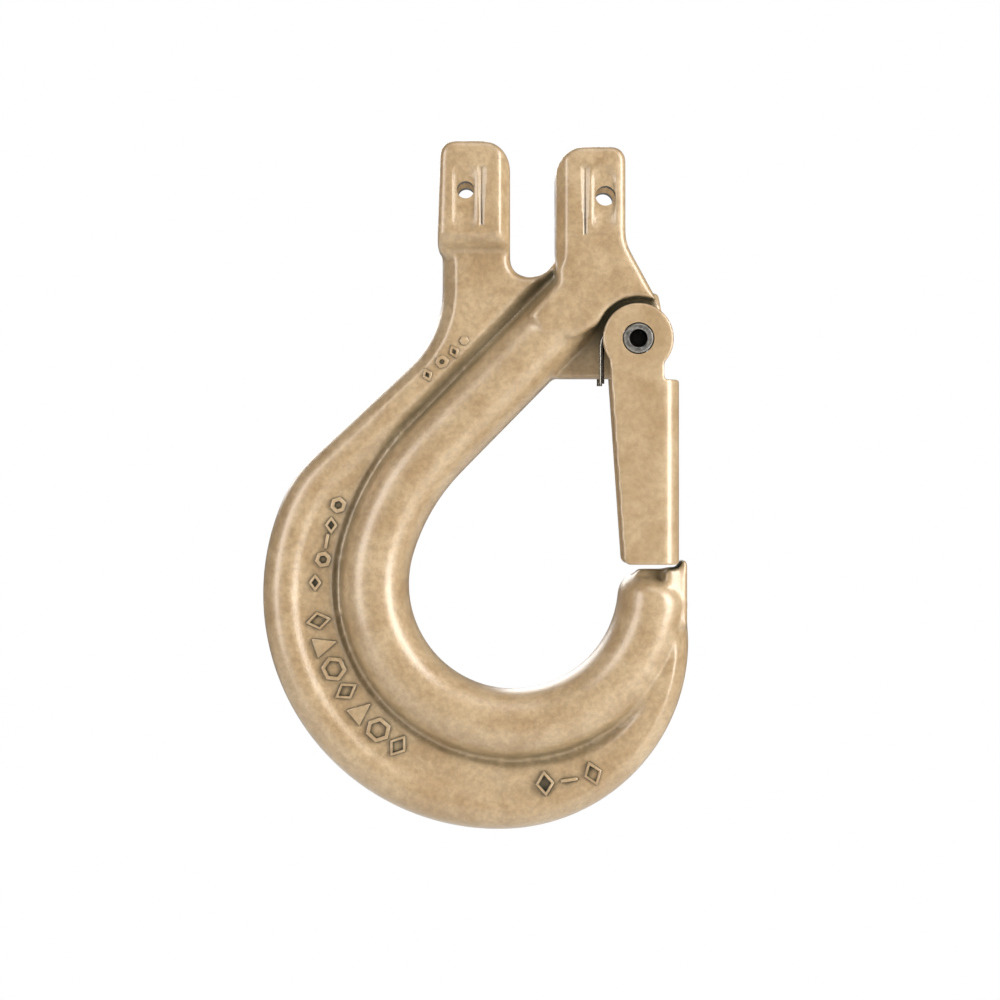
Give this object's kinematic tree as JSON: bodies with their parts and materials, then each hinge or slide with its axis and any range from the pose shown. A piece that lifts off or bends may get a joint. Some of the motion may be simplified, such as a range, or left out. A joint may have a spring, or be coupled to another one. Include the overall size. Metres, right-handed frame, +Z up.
{
  "type": "safety chain hook",
  "caption": "Forged clevis sling hook with a T-shaped bowl section and a spring-closed sheet latch that keeps a chain or sling in the bowl",
  "frame": {"origin": "on the axis of the load pin, midway between the two ears of the clevis", "axes": "+Z up as the hook hangs, +X towards the side of the hook's tip and latch, +Y into depth; the hook is symmetric about Y = 0"},
  "size_m": [0.0851, 0.0194, 0.1367],
  "materials": {
    "forging_coat": "semi-gloss gold-tan paint over a forged, shot-blasted surface, with fine mottling",
    "latch_coat": "the same gold-tan paint over smooth pressed sheet steel",
    "pin_steel": "dark, hardened and oiled steel pin, hollow at each end",
    "spring_wire": "drawn stainless spring wire"
  },
  "bodies": {
    "root": {"hook_body": "forging_coat", "latch_pin": "pin_steel", "latch_spring": "spring_wire"},
    "latch": {"latch": "latch_coat"}
  },
  "joints": [
    {"name": "latch_hinge", "type": "hinge", "parent": "root", "child": "latch", "pos_m": [0.0208, 0, -0.0295], "axis": [0, 1, 0], "range_deg": [0, 44], "stiffness_Nm_per_rad": 0.06, "springref_deg": -34.38, "deforming": ["latch_spring"]}
  ]
}
